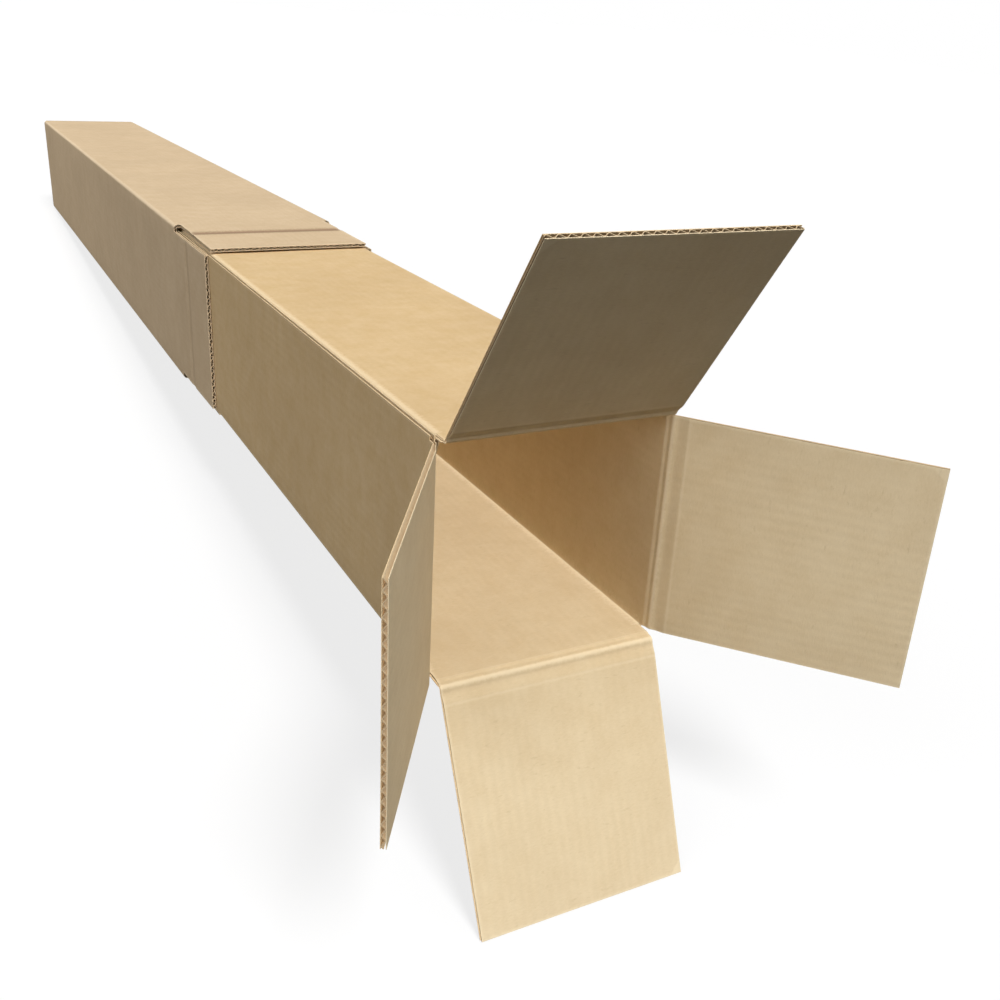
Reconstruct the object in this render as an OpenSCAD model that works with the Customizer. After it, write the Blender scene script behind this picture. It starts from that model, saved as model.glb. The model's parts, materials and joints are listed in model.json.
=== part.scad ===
// Telescoping corrugated box, pulled part way open.
// A long square inner tube with four open end flaps slides in a slightly larger
// outer box. The outer box is closed at its far end, and its own front flaps lie
// straight along the inner tube. Each flap turns about its scored fold line.
// Origin: centre of the outer box's bottom face. +Y runs to the closed end, +Z is up.

/* [Board] */
// Thickness of the corrugated board
board = 3; // [2:0.5:5]
// Inside radius of a folded corner
fold_r = 0.6; // [0.2:0.2:2]
// Gap on a fold line between a wall and its flap
fold_gap = 0.3; // [0.2:0.05:0.6]

/* [Inner box] */
// Outside width of the inner tube
tube_w = 150; // [110:5:220]
// Outside height of the inner tube
tube_h = 147; // [107:5:217]
// Length of the inner tube, from its left flap's fold to its open back end
inner_len = 1200; // [900:10:1230]
// Length of inner tube that stands out of the outer box
exposed = 495; // [60:5:560]
// Width of the glued seam lap inside the inner tube
lap_w = 32; // [20:1:45]
// How far the front end of the seam lap slants back over its width
lap_slant = 14; // [2:1:60]
// Height by which the left wall's cut edge stays below the top face, at the seam
seam_drop = 1; // [0.5:0.1:2]

/* [Outer box] */
// Length of the outer box, from its front fold lines to its closed end
outer_len = 1220; // [1180:10:1500]
// Running clearance between the two tubes on each side
slide_gap = 1.5; // [0.8:0.1:3]
// Gap under the inner tube, which slides on the outer box's floor
floor_gap = 0.3; // [0.2:0.05:0.6]
// Length of the outer box's front flaps
lip_len = 75; // [40:5:110]
// Distance that the outer box's corner slots run past its front fold lines
slot_past = 50; // [10:5:120]
// Width cut from each flap beside a corner slot of the outer box
slot_extra = 3; // [0:0.5:8]
// Seam left where the closed end's two outer flaps meet
end_seam = 1.5; // [0.5:0.5:6]

/* [Inner box flaps] */
// Opening of the top flap, outwards from straight along the tube
top_angle = 55.2; // [0:0.1:170]
// Opening of the right flap
right_angle = 39.6; // [0:0.1:170]
// Opening of the bottom flap
bottom_angle = 65.9; // [0:0.1:170]
// Opening of the left flap
left_angle = 31.5; // [0:0.1:170]
// Gap from a closed flap's free edge to the wall that it reaches
tip_gap = 1.5; // [0.5:0.5:20]
// Gap between flaps that are folded shut on each other
stack_gap = 0.3; // [0.2:0.1:1]
// Distance that the inner box's corner slots run past its innermost score
slot_over = 1; // [0.5:0.5:10]

/* [Hidden] */

// Walls are numbered by quarter turns about the length
TOP = 0;
RIGHT = 1;
BOTTOM = 2;
LEFT = 3;

kraft_inner = [0.80, 0.66, 0.46];
kraft_outer = [0.77, 0.65, 0.49];
kraft_flap = [0.84, 0.71, 0.52];
round_fn = 48;
arc_steps = 6;

// Outside radius of a folded corner, and where flat walls and flaps begin
corner_r = board + fold_r;

outer_w = tube_w + 2 * (slide_gap + board);
outer_h = tube_h + 2 * (slide_gap + board);

// Heights of the two tubes' axes
outer_axis = outer_h / 2;
inner_axis = board + floor_gap + tube_h / 2;

// Places along the length
outer_fold = -outer_len / 2;
outer_end = outer_len / 2;
outer_slot = outer_fold + slot_past;
inner_front = outer_fold - lip_len - exposed;
inner_slot = inner_front + fold_gap + board + slot_over;
inner_back = inner_front + inner_len;

// Inner flaps shut in the order left, right, top, bottom, each one board further out
fold_step = board + stack_gap;
shut_order = [2, 1, 3, 0];
function inner_fold(side) = inner_front - shut_order[side] * fold_step;

// Full overlap flaps: the left and top ones stop short of a wall that runs past them
flap_reach = [tube_h - board - tip_gap, tube_w - tip_gap,
              tube_h - tip_gap, tube_w - board - tip_gap];
flap_angle = [top_angle, right_angle, bottom_angle, left_angle];

// Closed end: the outer pair of flaps meets at mid-height, and the inner pair is as
// long where the width allows it
outer_end_reach = outer_h / 2 - end_seam / 2;
inner_end_reach = min(outer_w, outer_h) / 2 - end_seam / 2;

// Side of a tube that a wall spans, and how far that wall lies from the axis
function span(side, w, h) = side % 2 == 0 ? w : h;
function depth(side, w, h) = (side % 2 == 0 ? h : w) / 2;

function arc(centre, r, from, to) =
    [for (i = [0:arc_steps]) let (a = from + (to - from) * i / arc_steps)
        centre + r * [cos(a), sin(a)]];

// Puts its child on a wall's outer face, for a tube drawn about its own axis:
// X along the fold, -Y out of the mouth, Z outwards
module on_wall(side, w, h, y) {
    translate([0, y, 0]) rotate([0, 90 * side, 0])
        translate([0, 0, depth(side, w, h)]) children();
}

// Extrudes an outline drawn in length and height across a wall
module across(width) {
    rotate([90, 0, 90]) translate([0, 0, -width / 2]) linear_extrude(width) children();
}

// Rectangle with round corners
module soft_rect(w, h, r) {
    square([w - 2 * r, h], center = true);
    square([w, h - 2 * r], center = true);
    for (x = [-1, 1], y = [-1, 1])
        translate([x * (w / 2 - r), y * (h / 2 - r)]) circle(r, $fn = round_fn);
}

// Sheet folded round four corners, from one place along the length to another
module sleeve(w, h, from, to) {
    translate([0, to, 0]) rotate([90, 0, 0]) linear_extrude(to - from)
        difference() {
            soft_rect(w, h, corner_r);
            soft_rect(w - 2 * board, h - 2 * board, fold_r);
        }
}

// Wall between the slot roots and a fold line, scored at 45 degrees on its inner face.
// It runs one board's thickness into the sleeve, so that the two are one sheet.
module wall_front(side, w, h, inset, fold, root) {
    back = root + board - fold;
    on_wall(side, w, h, fold) across(span(side, w, h) - 2 * inset)
        polygon([[fold_gap / 2, 0], [back, 0],
                 [back, -board], [fold_gap / 2 + board, -board]]);
}

// Flap that turns about the fold line on the wall's outer face, scored to match
module flap(side, w, h, inset, fold, reach, open) {
    on_wall(side, w, h, fold) rotate([-open, 0, 0])
        across(span(side, w, h) - 2 * inset)
            polygon([[-fold_gap / 2, 0], [-reach, 0],
                     [-reach, -board], [-fold_gap / 2 - board, -board]]);
}

// Wall's end with its flap folded in through a round bend
module folded_end(side, y, wall, reach) {
    bend = [-corner_r, -corner_r];
    on_wall(side, outer_w, outer_h, y)
        across(span(side, outer_w, outer_h) - 2 * corner_r)
            polygon(concat([[-wall, -board], [-wall, 0]], arc(bend, corner_r, 90, 0),
                           [[0, -reach], [-board, -reach]], arc(bend, fold_r, 0, 90)));
}

// Closed far end: side flaps folded in first, top and bottom flaps glued over them
module closed_end() {
    for (side = [LEFT, RIGHT])
        folded_end(side, outer_end - board, corner_r + board, inner_end_reach);
    for (side = [TOP, BOTTOM])
        folded_end(side, outer_end, corner_r + 2 * board, outer_end_reach);
}

module outer_box() {
    color(kraft_outer) translate([0, 0, outer_axis]) {
        sleeve(outer_w, outer_h, outer_slot, outer_end - corner_r - board);
        for (side = [TOP:LEFT])
            wall_front(side, outer_w, outer_h, corner_r + slot_extra, outer_fold, outer_slot);
        closed_end();
    }
}

// Front flap of the outer box, straight in line with its wall
module outer_flap(side) {
    color(kraft_outer) translate([0, 0, outer_axis])
        flap(side, outer_w, outer_h, corner_r + slot_extra, outer_fold, lip_len, 0);
}

// Section of the inner sheet: the left wall ends in a cut edge at the top left corner,
// and the top wall turns down inside it
module inner_section() {
    bend = [board + corner_r - tube_w / 2, tube_h / 2 - corner_r];
    difference() {
        soft_rect(tube_w, tube_h, corner_r);
        soft_rect(tube_w - 2 * board, tube_h - 2 * board, fold_r);
        translate([-tube_w, bend[1]]) square([tube_w + bend[0], tube_h]);
    }
    translate([-tube_w / 2, 0]) square([board, tube_h / 2 - seam_drop]);
    polygon(concat(arc(bend, corner_r, 90, 180), arc(bend, fold_r, 180, 90)));
}

// Lap of the sheet glued down inside the left wall, under the top left corner
module seam_lap() {
    top = tube_h / 2 - corner_r;
    translate([board - tube_w / 2, 0, 0]) rotate([90, 0, 90]) linear_extrude(board)
        polygon([[inner_slot, top], [inner_slot + lap_slant, top - lap_w],
                 [inner_back, top - lap_w], [inner_back, top]]);
}

module inner_box() {
    color(kraft_inner) translate([0, 0, inner_axis]) {
        translate([0, inner_back, 0]) rotate([90, 0, 0])
            linear_extrude(inner_back - inner_slot) inner_section();
        for (side = [TOP:LEFT])
            wall_front(side, tube_w, tube_h, corner_r, inner_fold(side), inner_slot);
        seam_lap();
    }
}

module inner_flap(side) {
    color(kraft_flap) translate([0, 0, inner_axis])
        flap(side, tube_w, tube_h, corner_r, inner_fold(side),
             flap_reach[side], flap_angle[side]);
}

outer_box();
outer_flap(TOP);  // outer_top_flap
outer_flap(RIGHT);  // outer_right_flap
outer_flap(BOTTOM);  // outer_bottom_flap
outer_flap(LEFT);  // outer_left_flap
inner_box();
inner_flap(TOP);  // inner_top_flap
inner_flap(RIGHT);  // inner_right_flap
inner_flap(BOTTOM);  // inner_bottom_flap
inner_flap(LEFT);  // inner_left_flap
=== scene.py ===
# %% [markdown]
# # A telescoping cardboard box
# The object is two long square tubes of corrugated board, one pulled part way out of the other.
# Everything on it is one material, a sheet of two thin papers glued to a wavy one, so the whole
# lesson is about that sheet: making it once with Geometry Nodes, folding it in all the places
# where the real sheet is folded, and giving its brown paper a surface that stands a close look.
#
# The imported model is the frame: it gives each wall, fold line and joint its place, in metres,
# with +Y running from the open flaps to the closed end and +Z up.

# %% Load the frame
import json
import math

import bpy
import numpy as np
from mathutils import Matrix, Vector


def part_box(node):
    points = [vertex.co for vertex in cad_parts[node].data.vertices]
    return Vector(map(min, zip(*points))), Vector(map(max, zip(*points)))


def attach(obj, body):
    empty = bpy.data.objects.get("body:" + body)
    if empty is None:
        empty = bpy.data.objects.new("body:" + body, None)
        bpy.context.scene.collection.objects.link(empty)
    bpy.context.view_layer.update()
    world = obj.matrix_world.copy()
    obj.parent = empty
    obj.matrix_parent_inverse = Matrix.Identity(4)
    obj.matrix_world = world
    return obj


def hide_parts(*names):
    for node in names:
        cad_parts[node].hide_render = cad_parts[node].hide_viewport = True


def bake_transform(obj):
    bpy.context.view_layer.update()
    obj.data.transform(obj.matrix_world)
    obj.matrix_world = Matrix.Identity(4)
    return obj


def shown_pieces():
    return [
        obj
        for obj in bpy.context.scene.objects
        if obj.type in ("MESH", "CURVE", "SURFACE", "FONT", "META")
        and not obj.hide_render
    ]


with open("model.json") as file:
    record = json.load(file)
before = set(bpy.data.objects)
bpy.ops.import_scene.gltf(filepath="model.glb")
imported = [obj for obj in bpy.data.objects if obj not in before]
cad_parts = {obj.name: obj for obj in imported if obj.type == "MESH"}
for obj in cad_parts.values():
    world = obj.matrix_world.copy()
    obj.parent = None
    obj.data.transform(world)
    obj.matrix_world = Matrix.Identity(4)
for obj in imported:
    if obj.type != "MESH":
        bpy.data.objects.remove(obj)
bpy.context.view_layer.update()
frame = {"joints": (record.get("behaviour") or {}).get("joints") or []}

joints = {joint["name"]: joint for joint in frame["joints"]}

# %% [markdown]
# ## Measurements from the frame
# Nothing is measured twice. The board's thickness is the height of a flat flap, the radius of
# a folded corner is what a flap's width leaves of its wall, and a flap's opening is what its
# joint says: its low limit is the shut flap, a quarter turn inwards from straight.

# %% Board, tubes and flaps
SIDES = ("top", "right", "bottom", "left")


def extent(node):
    """Size of a CAD node's box."""
    low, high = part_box(node)
    return high - low


BOARD = extent("outer_top_flap").z
TUBE_W, TUBE_H = 2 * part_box("inner_box")[1].x, extent("inner_box").z
OUTER_W, OUTER_H = extent("outer_box").x, extent("outer_box").z
CORNER_R = (TUBE_W - extent("inner_top_flap").x) / 2
INNER_LOW, INNER_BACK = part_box("inner_box")[0].z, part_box("inner_box")[1].y
OUTER_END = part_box("outer_box")[1].y
OUTER_FOLD = joints["outer_top_fold"]["pos_m"][1]

# The slots between the flaps: how far their roots lie behind the scores
INNER_SLOT_OVER, OUTER_SLOT_PAST = 0.0013, 0.050
INNER_ROOT = joints["inner_left_fold"]["pos_m"][1] + BOARD + INNER_SLOT_OVER
OUTER_ROOT = OUTER_FOLD + OUTER_SLOT_PAST
# The glue lap inside the inner tube's left wall, whose front end is cut on a slant
LAP_WIDTH, LAP_SLANT = 0.032, 0.014
# How far the left wall's cut edge stays below the top face
SEAM_DROP = 0.001
# Seam between the two outer flaps of the closed end
END_SEAM = 0.0015


def opening(side):
    """Angle by which an inner flap stands open from straight, in radians."""
    return math.radians(-joints[f"inner_{side}_fold"]["range_deg"][0] - 90)


def flap_reach(tube, side):
    """Length of a flap from its fold line to its free edge."""
    low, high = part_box(f"{tube}_{side}_flap")
    hinge = Vector(joints[f"{tube}_{side}_fold"]["pos_m"])
    if tube == "outer":
        return hinge.y - low.y
    rise = {"top": high.z - hinge.z, "right": high.x - hinge.x,
            "bottom": hinge.z - low.z, "left": hinge.x - low.x}[side]
    return rise / math.sin(opening(side))


for side in SIDES:
    reach = flap_reach("inner", side)
    print(side, "open", round(math.degrees(opening(side)), 1), "reach", round(reach, 4))

# %% [markdown]
# ## Camera
# The camera was worked out by fitting the edges of the box: it stands to the left of the mouth
# and above it, looks down along the tubes, and is rolled by about three degrees. Its field of
# view is wide, which is why the near flaps look so large beside the far end.

# %% Camera
CAMERA_PLACE = Vector((-0.2871, -1.6514, 0.3391))
CAMERA_AHEAD = Vector((0.4344, 0.8092, -0.3955)).normalized()
CAMERA_UP = Vector((0.1383, 0.3740, 0.9171))
CAMERA_LENS, SENSOR_WIDTH = 38.54, 36
CLIP_START, CLIP_END = 0.01, 60

camera_data = bpy.data.cameras.new("camera")
camera_data.lens, camera_data.sensor_width = CAMERA_LENS, SENSOR_WIDTH
camera_data.clip_start, camera_data.clip_end = CLIP_START, CLIP_END
camera = bpy.data.objects.new("camera", camera_data)
bpy.context.scene.collection.objects.link(camera)
camera_right = CAMERA_AHEAD.cross(CAMERA_UP).normalized()
camera_up = camera_right.cross(CAMERA_AHEAD)
turn = Matrix((camera_right, camera_up, -CAMERA_AHEAD)).transposed()
camera.matrix_world = Matrix.Translation(CAMERA_PLACE) @ turn.to_4x4()
bpy.context.scene.camera = camera
print("camera looks down", round(math.degrees(math.asin(-CAMERA_AHEAD.z)), 1), "degrees")

# %% [markdown]
# ## A short way to write node trees
# Both kinds of tree below, the geometry and the shaders, are written with the same small
# helpers. `node` makes a node, sets its properties, and fills its inputs with plain values or
# links them from other sockets, so that a tree reads like the formula that it stands for.

# %% Node helpers


def fill(tree, socket, value):
    """Puts a plain value into a socket, or links another socket to it."""
    if isinstance(value, bpy.types.NodeSocket):
        tree.links.new(value, socket)
    else:
        socket.default_value = value


def node(tree, kind, inputs=None, **properties):
    """Makes a node with its properties and inputs set."""
    made = tree.nodes.new(kind)
    for name, value in properties.items():
        setattr(made, name, value)
    for name, value in (inputs or {}).items():
        fill(tree, made.inputs[name], value)
    return made


def math_node(tree, operation, *values):
    """Output of a Math node."""
    inputs = dict(enumerate(values))
    return node(tree, "ShaderNodeMath", inputs, operation=operation).outputs[0]


def vector_node(tree, operation, *values):
    """Output of a Vector Math node."""
    inputs = dict(enumerate(values))
    return node(tree, "ShaderNodeVectorMath", inputs, operation=operation).outputs[0]


def ramp_node(tree, value, from_min, from_max, to_min=0.0, to_max=1.0, style="LINEAR"):
    """Output of a Map Range node that stays within its ends."""
    inputs = {"Value": value, "From Min": from_min, "From Max": from_max,
              "To Min": to_min, "To Max": to_max}
    made = node(tree, "ShaderNodeMapRange", inputs, interpolation_type=style)
    return made.outputs["Result"]


def noise_node(tree, vector, scale, detail=2.0, roughness=0.5):
    """Output of a Noise Texture node, from 0 to 1."""
    inputs = {"Vector": vector, "Scale": scale, "Detail": detail, "Roughness": roughness}
    return node(tree, "ShaderNodeTexNoise", inputs).outputs[0]


def new_tree(name, kind, inputs, outputs):
    """Makes a node group. A socket is (name, type, default), or a name alone for a number."""
    tree = bpy.data.node_groups.new(name, kind)
    for in_out, sockets in (("INPUT", inputs), ("OUTPUT", outputs)):
        for socket in sockets:
            label, socket_type, default = (socket, "Float", 0.0) if isinstance(socket, str) else socket
            made = tree.interface.new_socket(label, in_out=in_out, socket_type="NodeSocket" + socket_type)
            if default is not None:
                made.default_value = default
    given, out = tree.nodes.new("NodeGroupInput"), tree.nodes.new("NodeGroupOutput")
    return tree, given.outputs, out.inputs


print("helpers ready")

# %% [markdown]
# ## One sheet of paper
# Corrugated board is three papers: a flat outer liner, a wavy medium and a flat inner liner.
# All three have one thing in common. Seen from the end they follow the same section line, at
# some depth below the board's outer face, and they run straight along the flutes. So one tree
# makes any of them: a box with many vertices is wrapped along the section line, and the medium
# is the same box with a sine wave added to its depth.
#
# The box is closed, so each paper has a real thickness and real cut edges. Rows across the
# length are packed closely where the sheet is scored, because that is where it bends. Every
# vertex also gets the place it had on the flat blank, which the papers' materials read: the
# grain then runs on over a fold, and doesn't slide when a flap is turned.

# %% The tree for one paper
# Shares of the rows that end at the score's start and at its end
WALL_SHARE, SCORE_SHARE = 0.06, 0.62
# Share of the crushed width that is crushed all the way
FULLY_CRUSHED = 0.25
# Inputs that a whole board hands on to each of its papers
HANDED_ON = (("Rows", "Int", 2), "Wall end", "Score start", "Score end", "Free end",
             ("Pitch", "Float", 0.006), "Crush", ("Crush back", "Float", 0.005),
             ("Crush front", "Float", 0.005), "Crush towards", "Scored")


def sampled(tree, path, value, index, data_type="FLOAT"):
    """Value that the section line has at a vertex's own station."""
    inputs = {"Geometry": path, "Value": value, "Index": index}
    made = node(tree, "GeometryNodeSampleIndex", inputs, data_type=data_type, domain="POINT")
    return made.outputs["Value"]


def named(tree, name, data_type="FLOAT"):
    """Named attribute as a field."""
    made = node(tree, "GeometryNodeInputNamedAttribute", {"Name": name}, data_type=data_type)
    return made.outputs["Attribute"]


def stored(tree, geometry, name, value, data_type="FLOAT"):
    """Geometry with a value stored on its points."""
    inputs = {"Geometry": geometry, "Name": name, "Value": value}
    made = node(tree, "GeometryNodeStoreNamedAttribute", inputs, data_type=data_type, domain="POINT")
    return made.outputs["Geometry"]


def paper_tree():
    """Tree that wraps one paper of the board along a section line."""
    tree, given, out = new_tree("Paper", "GeometryNodeTree", [
        ("Path", "Geometry", None), *HANDED_ON, "Depth", "Thickness", "Wave", "Layer"],
        [("Paper", "Geometry", None)])
    path = given["Path"]
    count = node(tree, "GeometryNodeAttributeDomainSize", {"Geometry": path}, component="CURVE")
    stations = count.outputs["Point Count"]
    cube = node(tree, "GeometryNodeMeshCube", {
        "Size": (1, 1, 1), "Vertices X": stations,
        "Vertices Y": math_node(tree, "ADD", given["Rows"], 1), "Vertices Z": 2})
    place = node(tree, "ShaderNodeSeparateXYZ", {0: node(tree, "GeometryNodeInputPosition").outputs[0]})
    share = math_node(tree, "ADD", place.outputs["X"], 0.5)
    index = node(tree, "FunctionNodeFloatToInt", {
        0: math_node(tree, "MULTIPLY", share, math_node(tree, "SUBTRACT", stations, 1))},
        rounding_mode="ROUND").outputs[0]

    spline = node(tree, "GeometryNodeSplineParameter").outputs["Length"]
    tangent = node(tree, "GeometryNodeInputTangent").outputs[0]
    outwards = vector_node(tree, "CROSS_PRODUCT", tangent, (0, 1, 0))
    line = sampled(tree, path, node(tree, "GeometryNodeInputPosition").outputs[0], index, "FLOAT_VECTOR")
    out_dir = sampled(tree, path, outwards, index, "FLOAT_VECTOR")
    along = sampled(tree, path, spline, index)
    fold, edge, set_back = (sampled(tree, path, named(tree, name), index)
                            for name in ("fold", "edge", "set_back"))

    row = math_node(tree, "ADD", place.outputs["Y"], 0.5)
    stretches = ((0.0, WALL_SHARE, "Wall end", "Score start"),
                 (WALL_SHARE, SCORE_SHARE, "Score start", "Score end"),
                 (SCORE_SHARE, 1.0, "Score end", "Free end"))
    y = math_node(tree, "ADD", given["Wall end"], math_node(tree, "MULTIPLY", set_back, row))
    for low, high, first, last in stretches:
        length = math_node(tree, "SUBTRACT", given[last], given[first])
        y = math_node(tree, "ADD", y, ramp_node(tree, row, low, high, 0.0, length))

    wave_number = math_node(tree, "DIVIDE", math.tau, given["Pitch"])
    phase = math_node(tree, "MULTIPLY", along, wave_number)
    slope = math_node(tree, "MULTIPLY", math_node(tree, "MULTIPLY", given["Wave"], wave_number),
                      math_node(tree, "COSINE", phase))
    stretch = math_node(tree, "SQRT", math_node(tree, "MULTIPLY_ADD", slope, slope, 1.0))
    skin = math_node(tree, "MULTIPLY", place.outputs["Z"], given["Thickness"])
    skin = math_node(tree, "MULTIPLY", skin, stretch)
    wave = math_node(tree, "MULTIPLY", given["Wave"], math_node(tree, "SINE", phase))
    depth = math_node(tree, "SUBTRACT", math_node(tree, "SUBTRACT", given["Depth"], wave), skin)
    from_score = math_node(tree, "ABSOLUTE", y)
    on_wall = math_node(tree, "GREATER_THAN", y, 0.0)
    width = math_node(tree, "SUBTRACT", given["Crush back"], given["Crush front"])
    width = math_node(tree, "MULTIPLY_ADD", on_wall, width, given["Crush front"])
    least = math_node(tree, "SUBTRACT", 1.0, given["Crush"])
    left = ramp_node(tree, math_node(tree, "DIVIDE", from_score, width), FULLY_CRUSHED, 1.0,
                     least, 1.0, "SMOOTHSTEP")
    sunk = math_node(tree, "MULTIPLY", math_node(tree, "SUBTRACT", 1.0, left), given["Crush towards"])
    depth = math_node(tree, "MULTIPLY_ADD", depth, left, sunk)

    # Distances that the papers' materials read
    unscored = math_node(tree, "SUBTRACT", 1.0, given["Scored"])
    even = math_node(tree, "DIVIDE", given["Crush front"], width)
    score = math_node(tree, "ADD", math_node(tree, "MULTIPLY", from_score, even), unscored)
    from_end = math_node(tree, "ADD", math_node(tree, "SUBTRACT", y, given["Free end"]), unscored)
    edge = math_node(tree, "MINIMUM", edge, from_end)

    drop = node(tree, "ShaderNodeVectorMath", {0: out_dir, "Scale": depth}, operation="SCALE").outputs[0]
    flat = vector_node(tree, "SUBTRACT", line, drop)
    row_place = node(tree, "ShaderNodeCombineXYZ", {"Y": y}).outputs[0]
    blank = node(tree, "ShaderNodeCombineXYZ", {"X": along, "Y": y, "Z": depth}).outputs[0]
    paper = cube.outputs["Mesh"]
    for name, value in (("blank", blank), ("outwards", out_dir)):
        paper = stored(tree, paper, name, value, "FLOAT_VECTOR")
    for name, value in (("fold", fold), ("edge", edge), ("score", score), ("layer", given["Layer"])):
        paper = stored(tree, paper, name, value)
    shape = node(tree, "GeometryNodeSetPosition", {
        "Geometry": paper, "Position": vector_node(tree, "ADD", flat, row_place)})
    tree.links.new(shape.outputs["Geometry"], out["Paper"])
    return tree


PAPER = paper_tree()
print("paper tree has", len(PAPER.nodes), "nodes")

# %% [markdown]
# ## One corrugated board
# The board tree puts three papers together. The section line comes in as a row of joined
# points that carry their distance to the nearest lengthwise fold and cut edge. The liners use
# those points as they are, few on a flat wall and many round a corner, and the medium uses the
# same line resampled to ten steps a flute.
#
# Real board is never flat, so a slow noise lifts it by a few tenths of a millimetre. It reads
# the place on the blank, so all three papers move together, and it dies out near a given
# place along the length, where two pieces of the sheet have to meet without a step. Last, the
# part of the sheet past the fold line is turned about it. The weight of that turn rises
# smoothly across the score, which makes a round crease and not a knife edge.

# %% The tree for a whole board
PAPER_THICKNESS = 0.0004
GLUE_BITE = 0.00003
FLUTE_PITCH = 0.0063
SECTION_STEPS_PER_FLUTE = 10
# Size of the unevenness, the length over which it fades in, and its distances from a fold
UNEVEN_SCALE, UNEVEN_FADE = 9.0, 0.06
STIFF_FOLD, SLACK_FOLD = 0.004, 0.04


def board_tree():
    """Tree that makes corrugated board along a section line and folds it."""
    tree, given, out = new_tree("Corrugated board", "GeometryNodeTree", [
        ("Section", "Geometry", None), *HANDED_ON, ("Board", "Float", 0.003), "Open",
        ("Bend", "Float", 0.004), "Taper", "Blank across", "Blank along", "Unevenness", "Held at",
        ("Held for", "Float", 0.01), "Seed", ("Outer liner", "Material", None),
        ("Medium", "Material", None), ("Inner liner", "Material", None)], [("Board", "Geometry", None)])
    line = node(tree, "GeometryNodeMeshToCurve", {"Mesh": given["Section"]}).outputs["Curve"]
    step = math_node(tree, "DIVIDE", given["Pitch"], SECTION_STEPS_PER_FLUTE)
    fine = node(tree, "GeometryNodeResampleCurve", {"Curve": line, "Length": step}, mode="LENGTH")
    middle = math_node(tree, "MULTIPLY", given["Board"], 0.5)
    wave = math_node(tree, "SUBTRACT", middle, 1.5 * PAPER_THICKNESS - GLUE_BITE)
    far = math_node(tree, "SUBTRACT", given["Board"], PAPER_THICKNESS / 2)
    papers = node(tree, "GeometryNodeJoinGeometry")
    layers = ((line, PAPER_THICKNESS / 2, 0.0), (fine.outputs["Curve"], middle, wave), (line, far, 0.0))
    for layer, (path, depth, height) in enumerate(layers):
        paper = node(tree, "GeometryNodeGroup", node_tree=PAPER)
        own = {"Path": path, "Depth": depth, "Wave": height, "Thickness": PAPER_THICKNESS,
               "Layer": float(layer)}
        names = [socket if isinstance(socket, str) else socket[0] for socket in HANDED_ON]
        for name, value in (own | {name: given[name] for name in names}).items():
            fill(tree, paper.inputs[name], value)
        tree.links.new(paper.outputs["Paper"], papers.inputs[0])

    shift = node(tree, "ShaderNodeCombineXYZ", {"X": given["Blank across"], "Y": given["Blank along"]})
    blank = vector_node(tree, "ADD", named(tree, "blank", "FLOAT_VECTOR"), shift.outputs[0])
    board = stored(tree, papers.outputs[0], "blank", blank, "FLOAT_VECTOR")
    on_blank = node(tree, "ShaderNodeSeparateXYZ", {0: named(tree, "blank", "FLOAT_VECTOR")}).outputs
    spot = node(tree, "ShaderNodeCombineXYZ", {"X": on_blank["X"], "Y": on_blank["Y"], "Z": given["Seed"]})
    centred = math_node(tree, "SUBTRACT", noise_node(tree, spot.outputs[0], UNEVEN_SCALE, 1.0), 0.5)
    lift = math_node(tree, "MULTIPLY", centred, given["Unevenness"])
    from_held = math_node(tree, "ABSOLUTE", math_node(tree, "SUBTRACT", on_blank["Y"], given["Held at"]))
    held = ramp_node(tree, math_node(tree, "SUBTRACT", from_held, given["Held for"]), 0.0, UNEVEN_FADE,
                     style="SMOOTHSTEP")
    flat = ramp_node(tree, named(tree, "fold"), STIFF_FOLD, SLACK_FOLD, style="SMOOTHSTEP")
    lift = math_node(tree, "MULTIPLY", lift, math_node(tree, "MULTIPLY", held, flat))
    offset = node(tree, "ShaderNodeVectorMath", {0: named(tree, "outwards", "FLOAT_VECTOR"), "Scale": lift},
                  operation="SCALE")
    uneven = node(tree, "GeometryNodeSetPosition", {"Geometry": board, "Offset": offset.outputs[0]})

    place = node(tree, "GeometryNodeInputPosition").outputs[0]
    unfolded = node(tree, "ShaderNodeSeparateXYZ", {0: place}).outputs
    y = unfolded["Y"]
    narrowed = ramp_node(tree, y, 0.0, given["Free end"], 0.0, given["Taper"])
    inwards = math_node(tree, "MULTIPLY", math_node(tree, "MULTIPLY", unfolded["X"], narrowed), -1.0)
    tapered = node(tree, "GeometryNodeSetPosition", {
        "Geometry": uneven.outputs["Geometry"],
        "Offset": node(tree, "ShaderNodeCombineXYZ", {"X": inwards}).outputs[0]})
    turned = ramp_node(tree, y, given["Bend"], math_node(tree, "MULTIPLY", given["Bend"], -1.0),
                       0.0, math_node(tree, "MULTIPLY", given["Open"], -1.0), "SMOOTHSTEP")
    bent = node(tree, "ShaderNodeVectorRotate", {"Vector": place, "Axis": (1, 0, 0), "Angle": turned},
                rotation_type="AXIS_ANGLE")
    folded = node(tree, "GeometryNodeSetPosition",
                  {"Geometry": tapered.outputs["Geometry"], "Position": bent.outputs[0]})
    done = node(tree, "GeometryNodeRealizeInstances", {"Geometry": folded.outputs["Geometry"]}).outputs[0]
    for layer, name in enumerate(("Outer liner", "Medium", "Inner liner")):
        of_layer = {0: named(tree, "layer"), 1: float(layer), "Epsilon": 0.1}
        chosen = node(tree, "FunctionNodeCompare", of_layer, operation="EQUAL", data_type="FLOAT")
        done = node(tree, "GeometryNodeSetMaterial", {
            "Geometry": done, "Selection": chosen.outputs[0], "Material": given[name]}).outputs[0]
    tree.links.new(done, out["Board"])
    return tree


BOARD_TREE = board_tree()
print("board tree has", len(BOARD_TREE.nodes), "nodes")

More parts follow.
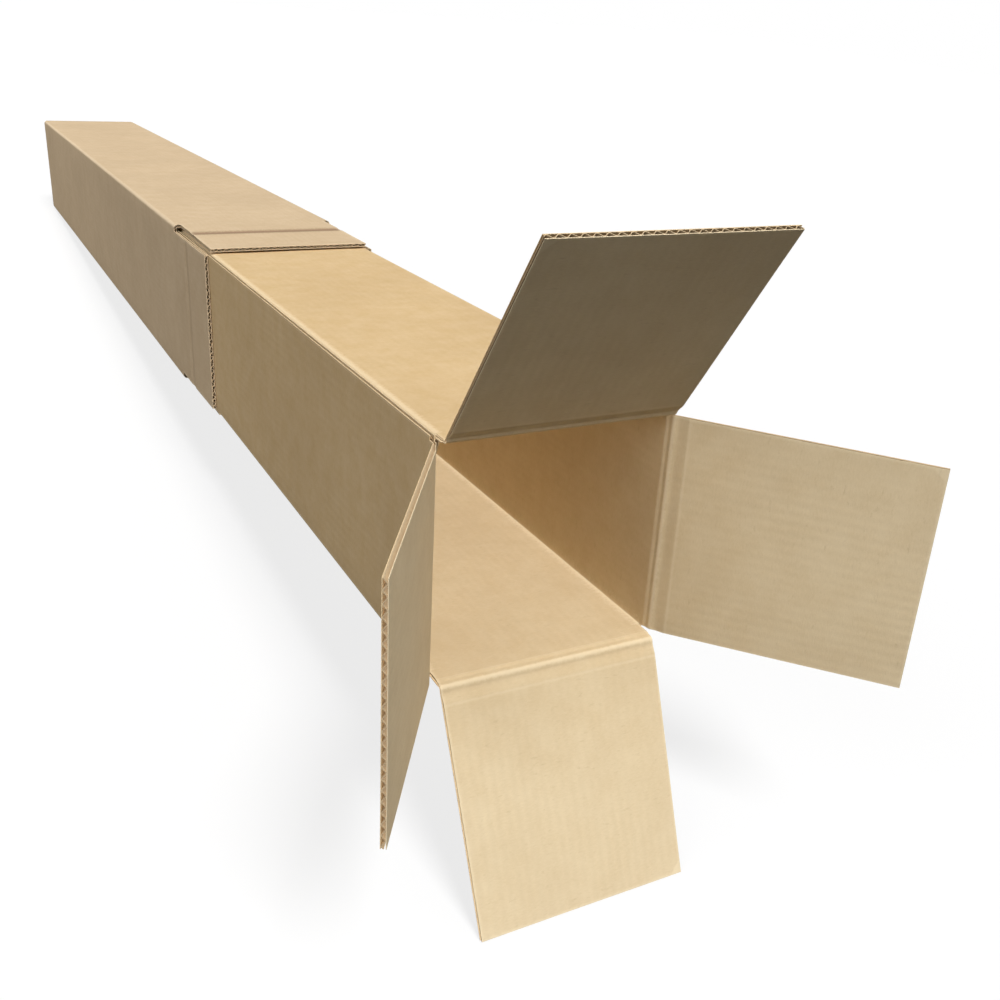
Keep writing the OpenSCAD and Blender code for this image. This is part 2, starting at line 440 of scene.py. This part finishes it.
# %% [markdown]
# ## What brown paper looks like
# Kraft liner is matt and brown, but it is never one brown. Looked at closely it has long
# fibres, pale and dark, that lie mostly one way. From a step back it has soft clouds where the
# pulp is thicker, and faint stripes where the flutes below print through. Cut edges are paler
# and rough, and a fold is rubbed pale along its crest. Three marks are painted light: the
# outer box's dark creases are painted shade, the pale line where a crushed band ends is a
# painted highlight, and the inner flaps' paler tips are a painted sheen.
#
# Each of these is one effect that several papers use, so each is a node group with its own
# inputs. The groups only put out masks and heights. The papers mix them into colours, and the
# shader itself stays in each material.

# %% Shader groups for the papers
FIBRE_SCALE, FLECK_SCALE, CLOUD_SCALE, STAIN_SCALE, RAGGED_SCALE = 1000.0, 420.0, 60.0, 9.0, 420.0
# Fibres lie across the flutes: their pattern is stretched that way
FIBRE_STRETCH = (0.35, 1.0, 1.0)
# Part of each noise that is spread over its mask, and over how ragged a worn edge is
FIBRE_RANGE, FLECK_RANGE, CLOUD_RANGE, STRENGTH_RANGE = (0.3, 0.7), (0.62, 0.78), (0.36, 0.64), (0.35, 0.65)
RAGGED_RANGE, RAGGED_REACH = (0.2, 0.8), (0.4, 1.6)
# Waver of the flute stripes, how far it shifts them, and how their strength comes and goes
WAVER_SCALE, WAVER, STRENGTH_SCALE, FAINTEST = 22.0, 0.0012, 14.0, 0.25
# Distance from the score at which the crushed band ends, the softness of its end, and the width of the pale
# line painted where it ends, a painted highlight
BAND, BAND_SOFT, BAND_HIGHLIGHT_WIDTH = 0.010, 0.0012, 0.0016


def shader_group(name, outputs, *inputs):
    """Makes a shader node group that reads the place on the blank and puts out numbers."""
    return new_tree(name, "ShaderNodeTree", [("Blank", "Vector", None), *inputs], outputs)


def fibre_group():
    """Fine fibres, longer across the flutes than along them."""
    tree, given, out = shader_group("Paper fibres", ["Fibre", "Fleck"])
    stretched = vector_node(tree, "MULTIPLY", given["Blank"], FIBRE_STRETCH)
    fibre = noise_node(tree, stretched, FIBRE_SCALE, 4.0, 0.7)
    fleck = noise_node(tree, stretched, FLECK_SCALE, 3.0, 0.65)
    tree.links.new(ramp_node(tree, fibre, *FIBRE_RANGE), out["Fibre"])
    tree.links.new(ramp_node(tree, fleck, *FLECK_RANGE), out["Fleck"])
    return tree


def cloud_group():
    """Soft clouds in the paper, and larger stains."""
    tree, given, out = shader_group("Paper clouds", ["Cloud", "Stain"])
    cloud = noise_node(tree, given["Blank"], CLOUD_SCALE, 5.0, 0.7)
    stain = noise_node(tree, given["Blank"], STAIN_SCALE, 3.0, 0.55)
    for noise, label in ((cloud, "Cloud"), (stain, "Stain")):
        tree.links.new(ramp_node(tree, noise, *CLOUD_RANGE), out[label])
    return tree


def flute_group():
    """Stripes of the flutes below, stronger in some places than in others."""
    tree, given, out = shader_group("Flute print", ["Stripe"])
    across = node(tree, "ShaderNodeSeparateXYZ", {0: given["Blank"]}).outputs["X"]
    waver = noise_node(tree, given["Blank"], WAVER_SCALE)
    shifted = math_node(tree, "MULTIPLY_ADD", waver, WAVER, across)
    phase = math_node(tree, "MULTIPLY", math_node(tree, "DIVIDE", shifted, FLUTE_PITCH), math.tau)
    stripe = ramp_node(tree, math_node(tree, "SINE", phase), -1.0, 1.0)
    strength = noise_node(tree, given["Blank"], STRENGTH_SCALE)
    strength = ramp_node(tree, strength, *STRENGTH_RANGE, FAINTEST, 1.0)
    centred = math_node(tree, "MULTIPLY", math_node(tree, "SUBTRACT", stripe, 0.5), strength)
    tree.links.new(math_node(tree, "ADD", centred, 0.5), out["Stripe"])
    return tree


def wear_group():
    """Masks for a rough cut edge, a rubbed fold and a score's crease and crushed band, broken up by noise.
    The line where the band ends is a painted highlight.
    """
    tree, given, out = shader_group(
        "Edge and fold wear", ["Cut edge", "Rubbed fold", "Crease", "Score band", "Band line"],
        "Edge", "Fold", "Score", "Edge width", "Fold width", "Score width")
    ragged = noise_node(tree, given["Blank"], RAGGED_SCALE, 3.0, 0.7)
    ragged = ramp_node(tree, ragged, *RAGGED_RANGE, *RAGGED_REACH)
    for distance, label in (("Edge", "Cut edge"), ("Fold", "Rubbed fold"), ("Score", "Crease")):
        reach = math_node(tree, "MULTIPLY", given[distance + " width"], ragged)
        tree.links.new(ramp_node(tree, given[distance], 0.0, reach, 1.0, 0.0, "SMOOTHSTEP"), out[label])
    inside = math_node(tree, "SUBTRACT", BAND, given["Score"])
    tree.links.new(ramp_node(tree, inside, 0.0, BAND_SOFT), out["Score band"])
    # Painted highlight: a thin pale line where the crushed band ends
    line_width = math_node(tree, "MULTIPLY", ragged, BAND_HIGHLIGHT_WIDTH)
    line = ramp_node(tree, math_node(tree, "ABSOLUTE", inside), 0.0, line_width, 1.0, 0.0, "SMOOTHSTEP")
    tree.links.new(line, out["Band line"])
    return tree


FIBRES, CLOUDS, FLUTES, WEAR = fibre_group(), cloud_group(), flute_group(), wear_group()
print("shader groups", [tree.name for tree in (FIBRES, CLOUDS, FLUTES, WEAR)])

# %% [markdown]
# ## The papers themselves
# The two boxes come from different rolls: the inner one is a warmer brown and the outer one a
# little greyer. Each has a liner outside and inside. The medium between them is made of
# recycled pulp and is darker, and shows only at cut edges and in the slots.

# %% Materials
# Painted sheen: from their folds to their tips the inner flaps are painted paler and greyer
SHEEN_FROM, SHEEN_TO, SHEEN_TONE = -1.17, -1.28, (0.81, 0.69, 0.475, 1)
# Share of the way to the pale or dark colour that each mask goes
FIBRE_SHARE, CLOUD_SHARE, STAIN_SHARE, FLECK_SHARE = 0.22, 0.24, 0.18, 0.35
BAND_SHARE, BAND_HIGHLIGHT_SHARE, CUT_EDGE_SHARE = 0.10, 0.2, 0.4
SMOOTHEST, FIBRE_ROUGHNESS, SPECULAR = 0.82, 0.12, 0.25
FLUTE_BUMP, CLOUD_BUMP, BUMP_STRENGTH, BUMP_DISTANCE = 1.5, 1.5, 0.5, 0.00006


def mixed(tree, factor, first, second):
    """Output of a colour Mix node."""
    made = node(tree, "ShaderNodeMix", {0: factor, 6: first, 7: second}, data_type="RGBA")
    return made.outputs[2]


def paper_material(name, colour, pale, dark, stripes=0.07, fold_wear=0.5, fold_width=0.003,
                   crease=0.5, crease_width=0.0022, crease_tone=None, edge_width=0.0015, fade=0.0):
    """Matt brown paper. Pale and dark are the colours that its fibres and wear go towards. A dark crease
    tone is painted shade along the crease, and the last argument paints an inner flap paler towards its
    tip, a painted sheen.
    """
    material = bpy.data.materials.new(name)
    material.use_nodes = True
    tree = material.node_tree
    shader = tree.nodes["Principled BSDF"]

    def attribute(label, output):
        return node(tree, "ShaderNodeAttribute", attribute_name=label).outputs[output]

    def group(group_tree, **inputs):
        made = node(tree, "ShaderNodeGroup", node_tree=group_tree)
        for label, value in inputs.items():
            fill(tree, made.inputs[label.replace("_", " ")], value)
        return made.outputs

    blank = attribute("blank", "Vector")
    fibres = group(FIBRES, Blank=blank)
    clouds = group(CLOUDS, Blank=blank)
    flutes = group(FLUTES, Blank=blank)
    worn = group(WEAR, Blank=blank, Edge=attribute("edge", "Fac"), Fold=attribute("fold", "Fac"),
                 Score=attribute("score", "Fac"), Fold_width=fold_width, Score_width=crease_width,
                 Edge_width=edge_width)

    along = node(tree, "ShaderNodeSeparateXYZ", {0: blank}).outputs["Y"]
    # Painted sheen: the tone goes paler and greyer from a flap's fold to its tip
    faded = ramp_node(tree, along, SHEEN_FROM, SHEEN_TO, 0.0, fade, "SMOOTHSTEP")
    tone = mixed(tree, faded, colour, SHEEN_TONE)
    # A dark crease tone is painted shade in the crease, and the band's end line is a painted highlight
    for mask, amount, towards in (
            (fibres["Fibre"], FIBRE_SHARE, dark), (clouds["Cloud"], CLOUD_SHARE, pale),
            (clouds["Stain"], STAIN_SHARE, dark), (flutes["Stripe"], stripes, dark),
            (fibres["Fleck"], FLECK_SHARE, dark), (worn["Score band"], BAND_SHARE, dark),
            (worn["Band line"], BAND_HIGHLIGHT_SHARE, pale), (worn["Rubbed fold"], fold_wear, pale),
            (worn["Crease"], crease, crease_tone or pale), (worn["Cut edge"], CUT_EDGE_SHARE, pale)):
        tone = mixed(tree, math_node(tree, "MULTIPLY", mask, amount), tone, towards)
    tree.links.new(tone, shader.inputs["Base Color"])

    roughness = math_node(tree, "MULTIPLY_ADD", fibres["Fibre"], FIBRE_ROUGHNESS, SMOOTHEST)
    tree.links.new(roughness, shader.inputs["Roughness"])
    shader.inputs["Specular IOR Level"].default_value = SPECULAR
    height = math_node(tree, "MULTIPLY_ADD", flutes["Stripe"], FLUTE_BUMP, fibres["Fibre"])
    height = math_node(tree, "MULTIPLY_ADD", clouds["Cloud"], CLOUD_BUMP, height)
    bump = node(tree, "ShaderNodeBump", {
        "Height": height, "Strength": BUMP_STRENGTH, "Distance": BUMP_DISTANCE})
    tree.links.new(bump.outputs["Normal"], shader.inputs["Normal"])
    return material


INNER_OUTSIDE = paper_material("kraft liner, outside of inner box", (0.66, 0.47, 0.245, 1),
                               (0.82, 0.66, 0.43, 1), (0.44, 0.29, 0.135, 1), fold_wear=0.75,
                               fold_width=0.0045, edge_width=0.002)
INNER_INSIDE = paper_material("kraft liner, inside of inner box", (0.67, 0.525, 0.32, 1),
                              (0.82, 0.70, 0.49, 1), (0.44, 0.32, 0.18, 1), fold_wear=0.8,
                              fold_width=0.008, edge_width=0.002, fade=0.3)
OUTER_COLOURS = (0.63, 0.475, 0.30, 1), (0.78, 0.64, 0.45, 1), (0.42, 0.295, 0.17, 1)
# Along the outer flaps' creases the liner is painted darker: painted shade in the crease
OUTER_LINER = paper_material("kraft liner, outer box", *OUTER_COLOURS, crease=0.35, crease_width=0.005,
                             crease_tone=(0.42, 0.30, 0.19, 1), edge_width=0.0035)
# The top fold of the outer box has a wide dark band painted along its crease, painted shade
OUTER_TOP_SHADED_LINER = paper_material("kraft liner, top of outer box", *OUTER_COLOURS, crease=0.95,
                                 crease_width=0.014, crease_tone=(0.29, 0.185, 0.11, 1),
                                 edge_width=0.0035)
MEDIUM = paper_material("fluted medium", (0.45, 0.33, 0.20, 1), (0.66, 0.51, 0.32, 1),
                        (0.28, 0.195, 0.11, 1), stripes=0.0, edge_width=0.002)
print("materials", [material.name for material in bpy.data.materials])

# %% [markdown]
# ## Section lines
# A section line is drawn as if the box were sawn through across its length: a list of flat
# stretches and quarter bends, followed with the board's outer face on the left. Each point
# knows how far it is from the nearest bend and from the nearest cut edge, because the papers
# are rubbed at the one and rough at the other.

# %% Drawing a section line
FLAT_STEPS, BEND_STEPS, LAP_STEPS = 10, 7, 4
FAR_AWAY = 1.0


class Section:
    """A line of points in X and Z, with the distances that the papers read."""

    def __init__(self, start, heading):
        self.points = [Vector(start)]
        self.heading = heading
        # Distances along the line: of each point, of each bend's middle and of each flat's start
        self.travelled = [0.0]
        self.bends, self.flats = [], []

    def step_to(self, point):
        """Adds one point."""
        self.travelled.append(self.travelled[-1] + (point - self.points[-1]).length)
        self.points.append(point)

    def straight(self, length, steps=FLAT_STEPS):
        """Adds a flat stretch."""
        start = self.points[-1]
        self.flats.append(self.travelled[-1])
        ahead = Vector((math.cos(self.heading), math.sin(self.heading)))
        for i in range(steps):
            self.step_to(start + ahead * length * (i + 1) / steps)
        return self

    def bend(self, radius):
        """Adds a quarter bend, clockwise, with that outside radius."""
        begin = self.travelled[-1]
        normal = Vector((math.sin(self.heading), -math.cos(self.heading)))
        centre = self.points[-1] + normal * radius
        spoke = -normal * radius
        for i in range(BEND_STEPS):
            turned = -math.pi / 2 * (i + 1) / BEND_STEPS
            c, s = math.cos(turned), math.sin(turned)
            self.step_to(centre + Vector((spoke.x * c - spoke.y * s, spoke.x * s + spoke.y * c)))
        self.heading -= math.pi / 2
        self.bends.append((begin + self.travelled[-1]) / 2)
        return self

    def distances(self, cut_ends):
        """For each point, the distance to the nearest bend and to the nearest cut end."""
        folds = [min([abs(s - b) for b in self.bends], default=FAR_AWAY) for s in self.travelled]
        total = self.travelled[-1]
        edges = [min(s, total - s) if cut_ends else FAR_AWAY for s in self.travelled]
        return folds, edges


def inner_section():
    """Inner tube: up the glue lap, round the four walls, and up the left wall to its cut edge."""
    lap_face = -TUBE_W / 2 + BOARD
    top = INNER_LOW + TUBE_H
    line = Section((lap_face, top - CORNER_R - LAP_WIDTH), math.pi / 2)
    line.straight(LAP_WIDTH, LAP_STEPS).bend(CORNER_R)
    for wall in (TUBE_W - BOARD, TUBE_H, TUBE_W):
        line.straight(wall - 2 * CORNER_R).bend(CORNER_R)
    return line.straight(TUBE_H - CORNER_R - SEAM_DROP)


def outer_section():
    """Outer box: once round, from the bottom right corner back to it."""
    line = Section((OUTER_W / 2 - CORNER_R, 0.0), math.pi)
    for wall in (OUTER_W, OUTER_H, OUTER_W, OUTER_H):
        line.straight(wall - 2 * CORNER_R).bend(CORNER_R)
    return line


def strip_section(width):
    """A flat strip, for a wall's end and its flap."""
    return Section((-width / 2, 0.0), 0.0).straight(width, 2 * FLAT_STEPS)


inner_line, outer_line = inner_section(), outer_section()
for name, line in (("inner", inner_line), ("outer", outer_line)):
    print(name, "sheet is", round(line.travelled[-1], 3), "m round")

# %% [markdown]
# ## From a section line to a piece
# `board_piece` draws the section line as a mesh of edges, runs the board tree on it, and turns
# the result into a plain mesh that is placed in the frame.

# %% Running the board tree
# Angle between faces above which an edge is sharp
SHARP = math.radians(40)


def board_piece(name, section, sizes, papers, place=None, cut_ends=True, set_back=None):
    """A finished mesh object of corrugated board, made by the board tree."""
    mesh = bpy.data.meshes.new(name)
    points = [(p.x, 0.0, p.y) for p in section.points]
    mesh.from_pydata(points, [(i, i + 1) for i in range(len(points) - 1)], [])
    folds, edges = section.distances(cut_ends)
    set_back = set_back or [0.0] * len(points)
    for label, numbers in (("fold", folds), ("edge", edges), ("set_back", set_back)):
        attribute = mesh.attributes.new(label, "FLOAT", "POINT")
        attribute.data.foreach_set("value", np.array(numbers, np.float32))
    piece = bpy.data.objects.new(name, mesh)
    bpy.context.scene.collection.objects.link(piece)
    modifier = piece.modifiers.new("board", "NODES")
    modifier.node_group = BOARD_TREE
    identifiers = {item.name: item.identifier for item in BOARD_TREE.interface.items_tree
                   if item.in_out == "INPUT"}
    values = {"Board": BOARD, "Pitch": FLUTE_PITCH, "Outer liner": papers[0], "Medium": papers[1],
              "Inner liner": papers[2], **sizes}
    for label, value in values.items():
        modifier[identifiers[label]] = value
    evaluated = piece.evaluated_get(bpy.context.evaluated_depsgraph_get())
    made = bpy.data.meshes.new_from_object(evaluated)
    piece.modifiers.remove(modifier)
    piece.data = made
    made.name = name
    if place is not None:
        made.transform(place)
    # Smooth faces, with sharp edges where the paper is cut
    made.shade_smooth()
    made.set_sharp_from_angle(angle=SHARP)
    return piece


def row_sizes(back, front, rows, score=None):
    """The four places along the length between which the rows are spread."""
    low, high = score or (back + (front - back) * WALL_SHARE, back + (front - back) * SCORE_SHARE)
    return {"Wall end": back, "Score start": low, "Score end": high, "Free end": front, "Rows": rows}


print("board thickness", round(BOARD, 4))

# %% [markdown]
# ## The two tubes
# The inner tube is one sheet folded round and glued at its top left corner. The sheet starts
# inside the left wall, as the glue lap, and ends at the left wall's cut edge, which shows as a
# thin raw strip along that corner. The lap stops short of the flaps and its end is cut on a
# slant, as it is on a real blank.

# %% Tubes
# How much the board waves in and out, and how far it is held flat from a slot root
UNEVEN, HELD_FOR = 0.0007, 0.016
TUBE_ROWS = 26
SEED = {"inner": 1.0, "outer": 2.0}


def unevenness(tube, root):
    """Inputs for the waves of one sheet, the same on both sides of a slot root."""
    return {"Unevenness": UNEVEN, "Held at": root, "Held for": HELD_FOR, "Seed": SEED[tube]}


inner_papers = (INNER_OUTSIDE, MEDIUM, INNER_INSIDE)
outer_papers = (OUTER_LINER, MEDIUM, OUTER_LINER)
# The glue lap's front end slants back, most at its free edge
lap_back = [LAP_SLANT * max(0.0, 1 - s / LAP_WIDTH) for s in inner_line.travelled]

inner_tube = board_piece("inner_tube", inner_line, {
    **row_sizes(INNER_BACK, INNER_ROOT, TUBE_ROWS), **unevenness("inner", INNER_ROOT)},
    inner_papers, set_back=lap_back)
outer_sleeve = board_piece("outer_sleeve", outer_line, {
    **row_sizes(OUTER_END - CORNER_R - 2 * BOARD, OUTER_ROOT, TUBE_ROWS),
    **unevenness("outer", OUTER_ROOT)}, outer_papers, cut_ends=False)
for piece in (inner_tube, outer_sleeve):
    print(piece.name, len(piece.data.polygons), "faces", [round(v, 4) for v in piece.dimensions])

# %% [markdown]
# ## Walls and flaps at the mouths
# In front of the slot roots each wall is a strip of its own, and runs on over its fold line
# into its flap. So each wall's end and its flap are one piece here, as they are one sheet on
# the real box.

# %% Flaps
# Half the length of a bend, and crushed width on the flap's side of a fold
BEND_HALF, FLAP_CRUSH = 0.0028, 0.010
FLAP_ROWS = 48
# Share of the wall's end that may be crushed
WALL_LIMIT = 0.97
# Crushed width on the wall's side of a fold, and share of the thickness that is lost there
WALL_CRUSH = {"inner": 0.0045, "outer": 0.009}
CRUSH = {"inner": 0.38, "outer": 0.25}
# Depth that stays where it is when the score is crushed: the outer box shows a furrow outside
CRUSH_TOWARDS = {"inner": 0.0, "outer": 0.8 * BOARD}
# The outer flaps lean in on the inner tube, all but the one that it rests on, in radians
LEAN = {"top": -0.012, "right": -0.012, "bottom": 0.0, "left": -0.012}
# Share of its width that an inner flap loses by its free edge, so that the flaps shut without binding
TAPER = {"inner": 0.04, "outer": 0.0}
OUTWARD = {"top": Vector((0, 0, 1)), "right": Vector((1, 0, 0)),
           "bottom": Vector((0, 0, -1)), "left": Vector((-1, 0, 0))}
# Where each wall's flat stretch starts on its sheet
inner_flats = dict(zip(SIDES, inner_line.flats[1:]))
inner_flats["top"] -= BOARD
outer_flats = dict(zip(("bottom", "left", "top", "right"), outer_line.flats))


def wall_place(outward, point, towards):
    """Matrix that puts a strip's X across a wall, its Y towards the tube and its Z outwards."""
    across = towards.cross(outward)
    return Matrix.Translation(point) @ Matrix((across, towards, outward)).transposed().to_4x4()


def flap_piece(tube, side, root, papers, flats):
    """Strip of wall in front of a slot root, with its flap."""
    hinge = Vector(joints[f"{tube}_{side}_fold"]["pos_m"])
    open_angle = opening(side) if tube == "inner" else LEAN[side]
    size, level = extent(f"{tube}_{side}_flap"), side in ("top", "bottom")
    width = size.x if level else size.z
    back, reach = root - hinge.y, flap_reach(tube, side)
    score = (min(WALL_CRUSH[tube], back * WALL_LIMIT), -FLAP_CRUSH)
    wall = (TUBE_W, TUBE_H) if tube == "inner" else (OUTER_W, OUTER_H)
    flat = wall[0 if level else 1] - 2 * CORNER_R
    place = wall_place(OUTWARD[side], hinge, Vector((0, 1, 0)))
    piece = board_piece(f"{tube}_flap_{side}", strip_section(width), {
        **row_sizes(back, -reach, FLAP_ROWS, score), "Crush": CRUSH[tube], "Crush back": score[0],
        "Crush front": FLAP_CRUSH, "Crush towards": CRUSH_TOWARDS[tube], "Scored": 1.0,
        "Open": open_angle, "Bend": BEND_HALF, "Taper": TAPER[tube],
        "Blank across": flats[side] + (flat - width) / 2, "Blank along": hinge.y,
        **unevenness(tube, root)}, papers, place)
    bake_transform(piece)
    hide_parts(f"{tube}_{side}_flap")
    return piece


flaps = []
for side in SIDES:
    flaps.append(flap_piece("inner", side, INNER_ROOT, inner_papers, inner_flats))
    # The outer top flap takes the liner whose crease is painted darker, as painted shade
    flap_papers = (OUTER_TOP_SHADED_LINER, *outer_papers[1:]) if side == "top" else outer_papers
    flaps.append(flap_piece("outer", side, OUTER_ROOT, flap_papers, outer_flats))
print("flap pieces", [(piece.name, len(piece.data.polygons)) for piece in flaps])

# %% [markdown]
# ## The closed end
# At the far end the same strips are folded in over round bends: first the two side flaps, then
# the top and bottom flaps, which meet in a seam at half height and are glued down. These never
# move, so their bend is made in plain code and they ride on the outer box.

# %% Closed end
END_ROWS = 20
# Most rows go to the bend: from this share of the wall's last bit to this many bend lengths
BEND_ROWS_FROM, BEND_ROWS_TO = 0.5, 1.2
# The wall's last bit, of nearly no length where the side flaps meet the sleeve
SLIVER = 0.0001


def round_bend(mesh, radius):
    """Folds a strip a quarter turn inwards, starting at its Y of 0."""
    zone = radius * math.pi / 2
    co = np.empty(len(mesh.vertices) * 3)
    mesh.vertices.foreach_get("co", co)
    co = co.reshape(-1, 3)
    past = np.maximum(-co[:, 1], 0)
    angle = np.minimum(past / zone, 1) * math.pi / 2
    spoke, tail = radius + co[:, 2], np.maximum(past - zone, 0)
    wall = co[:, 1] > 0
    y = np.where(wall, co[:, 1], -np.sin(angle) * spoke)
    z = np.where(wall, co[:, 2], -radius + np.cos(angle) * spoke - tail)
    co[:, 1], co[:, 2] = y, z
    mesh.vertices.foreach_set("co", co.ravel())
    mesh.update()


def end_piece(side):
    """One folded flap of the closed end, with the last bit of its wall."""
    outer_pair = side in ("top", "bottom")
    span, depth = (OUTER_W, OUTER_H) if outer_pair else (OUTER_H, OUTER_W)
    bend_at = OUTER_END - CORNER_R - (0 if outer_pair else BOARD)
    zone = CORNER_R * math.pi / 2
    reach = (OUTER_H if outer_pair else min(OUTER_W, OUTER_H)) / 2 - END_SEAM / 2
    back = BOARD if outer_pair else SLIVER
    bend = (back * BEND_ROWS_FROM, -zone * BEND_ROWS_TO)
    piece = board_piece(f"outer_end_{side}", strip_section(span - 2 * CORNER_R), {
        **row_sizes(back, -(zone + reach - CORNER_R), END_ROWS, bend),
        "Blank across": outer_flats[side], "Blank along": OUTER_END}, outer_papers)
    round_bend(piece.data, CORNER_R)
    middle = Vector((0, bend_at, OUTER_H / 2)) + OUTWARD[side] * depth / 2
    piece.data.transform(wall_place(OUTWARD[side], middle, Vector((0, -1, 0))))
    return piece


end_pieces = [end_piece(side) for side in SIDES]
print("closed end", [piece.name for piece in end_pieces])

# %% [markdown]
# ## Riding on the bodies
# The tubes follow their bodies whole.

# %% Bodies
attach(inner_tube, "inner")
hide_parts("inner_box")
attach(outer_sleeve, "outer")
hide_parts("outer_box")
for piece in end_pieces:
    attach(piece, "outer")
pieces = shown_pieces()
print("pieces", len(pieces), "faces", sum(len(piece.data.polygons) for piece in pieces))

# %% [markdown]
# ## Floor and light
# The box can't lie level: its bottom flap hangs open below it, and props up the mouth like a
# strut. So the floor runs through that flap's free edge and the far bottom edge, four degrees
# off the frame's own level. To the camera it is plain and pale, and it throws little light up.
#
# The photo's light has a clear direction, found by matching how bright each wall and flap is.
# A key light stands above and in front. A wide window light comes from the left, a weaker
# fill from the right, and a dim sky from everywhere, a little brighter behind the far end.
# The far half of the left side is a little brighter than the near one, so a small lamp
# stands beside it.
#
# The key reaches deep into the tube without casting an edge, so the inner tube doesn't block
# it on the box itself. The outer box does, which puts a soft line of shade where its raw edges
# lie on the tube. The floor has a key of its own, the same in all but that every piece blocks
# it, so that the shadow on the floor is whole.

# %% Stage
# The sky grows brighter towards +Y, over these shares of the way there
SKY_STRENGTH, BACKDROP_STRENGTH, BACKDROP_RANGE = 0.07, 0.15, (0.2, 0.8)
SKY_COLOUR, WHITE = (1.0, 0.98, 0.96, 1), (1, 1, 1, 1)
# Name, direction to the light, strength, angle in degrees, and what it lights and what blocks
# it, where that isn't everything
LIGHTS = (("key on the box", (0.0, -0.57, 0.82), 3.15, 17, "whole box", "outer box"),
          ("key on the floor", (0.0, -0.57, 0.82), 3.15, 17, "floor", None),
          ("window", (-0.82, -0.30, 0.49), 1.20, 50, None, None),
          ("fill", (0.60, -0.52, 0.60), 0.42, 60, None, None))
LAMP_PLACE, LAMP_AIM = Vector((-1.20, 0.55, 0.50)), Vector((0, 0.1, 0.08))
LAMP_SIZE, LAMP_POWER = 0.8, 2.2
# The floor lies a hair below the box. To the camera it is mostly a glow of its own.
FLOOR_SIZE, FLOOR_GAP = 14.0, 0.0003
FLOOR_DIM, FLOOR_MATT, FLOOR_GLOW, GLOW_SHARE = 0.06, 0.80, 1.02, 0.75

bottom_hinge = Vector(joints["inner_bottom_fold"]["pos_m"])
bottom_angle, bottom_reach = opening("bottom"), flap_reach("inner", "bottom")
touch = bottom_hinge + Vector((0, -math.cos(bottom_angle), -math.sin(bottom_angle))) * bottom_reach
slope = math.atan2(-touch.z, OUTER_END - touch.y)


def floor_material():
    """Pale to the camera, with soft shade on it, and dim to everything else."""
    material = bpy.data.materials.new("pale floor")
    material.use_nodes = True
    tree = material.node_tree
    tree.nodes.clear()
    seen = node(tree, "ShaderNodeLightPath").outputs["Is Camera Ray"]
    dim, matt = (node(tree, "ShaderNodeBsdfDiffuse", {"Color": (grey, grey, grey, 1)})
                 for grey in (FLOOR_DIM, FLOOR_MATT))
    glow = node(tree, "ShaderNodeEmission", {"Color": WHITE, "Strength": FLOOR_GLOW})
    pale = node(tree, "ShaderNodeMixShader", {0: GLOW_SHARE, 1: matt.outputs[0], 2: glow.outputs[0]})
    both = node(tree, "ShaderNodeMixShader", {0: seen, 1: dim.outputs[0], 2: pale.outputs[0]})
    out = tree.nodes.new("ShaderNodeOutputMaterial")
    tree.links.new(both.outputs[0], out.inputs["Surface"])
    return material


floor_mesh = bpy.data.meshes.new("floor")
half = FLOOR_SIZE / 2
corners = [(-half, -half, 0), (half, -half, 0), (half, half, 0), (-half, half, 0)]
floor_mesh.from_pydata(corners, [], [(0, 1, 2, 3)])
floor_mesh.transform(Matrix.Translation((0, OUTER_END, -FLOOR_GAP)) @ Matrix.Rotation(slope, 4, "X"))
floor_mesh.materials.append(floor_material())
floor = bpy.data.objects.new("floor", floor_mesh)
bpy.context.scene.collection.objects.link(floor)


def place_light(light_data, place, towards):
    """Light object that shines from that direction."""
    light = bpy.data.objects.new(light_data.name, light_data)
    light.location = place
    light.rotation_mode = "QUATERNION"
    light.rotation_quaternion = towards.to_track_quat("Z", "Y")
    bpy.context.scene.collection.objects.link(light)
    return light


outer_pieces = [piece for piece in pieces if piece.name.startswith("outer")]
light_groups = {None: None}
for label, members in (("whole box", pieces), ("outer box", outer_pieces), ("floor", [floor])):
    light_groups[label] = bpy.data.collections.new(label + " in the key light")
    for member in members:
        light_groups[label].objects.link(member)
for name, direction, strength, angle, lit, blocking in LIGHTS:
    light_data = bpy.data.lights.new(name, "SUN")
    light_data.energy, light_data.angle = strength, math.radians(angle)
    light = place_light(light_data, (0, 0, 0), Vector(direction))
    light.light_linking.receiver_collection = light_groups[lit]
    light.light_linking.blocker_collection = light_groups[blocking]

lamp_data = bpy.data.lights.new("lamp at the far end", "AREA")
lamp_data.energy, lamp_data.size = LAMP_POWER, LAMP_SIZE
place_light(lamp_data, LAMP_PLACE, LAMP_PLACE - LAMP_AIM)

world = bpy.data.worlds.new("sky")
world.use_nodes = True
sky = world.node_tree
sky.nodes.clear()
on_camera = node(sky, "ShaderNodeLightPath").outputs["Is Camera Ray"]
direction = node(sky, "ShaderNodeTexCoord").outputs["Generated"]
ahead = node(sky, "ShaderNodeSeparateXYZ", {0: direction}).outputs["Y"]
strength = ramp_node(sky, ahead, *BACKDROP_RANGE, SKY_STRENGTH, SKY_STRENGTH + BACKDROP_STRENGTH,
                     "SMOOTHSTEP")
soft = node(sky, "ShaderNodeBackground", {"Color": SKY_COLOUR, "Strength": strength})
white = node(sky, "ShaderNodeBackground", {"Color": WHITE, "Strength": 1.0})
shown = node(sky, "ShaderNodeMixShader", {0: on_camera, 1: soft.outputs[0], 2: white.outputs[0]})
world_out = sky.nodes.new("ShaderNodeOutputWorld")
sky.links.new(shown.outputs[0], world_out.inputs["Surface"])
bpy.context.scene.world = world
bpy.context.scene.view_settings.view_transform = "Standard"
print("floor slopes", round(math.degrees(slope), 2), "degrees")
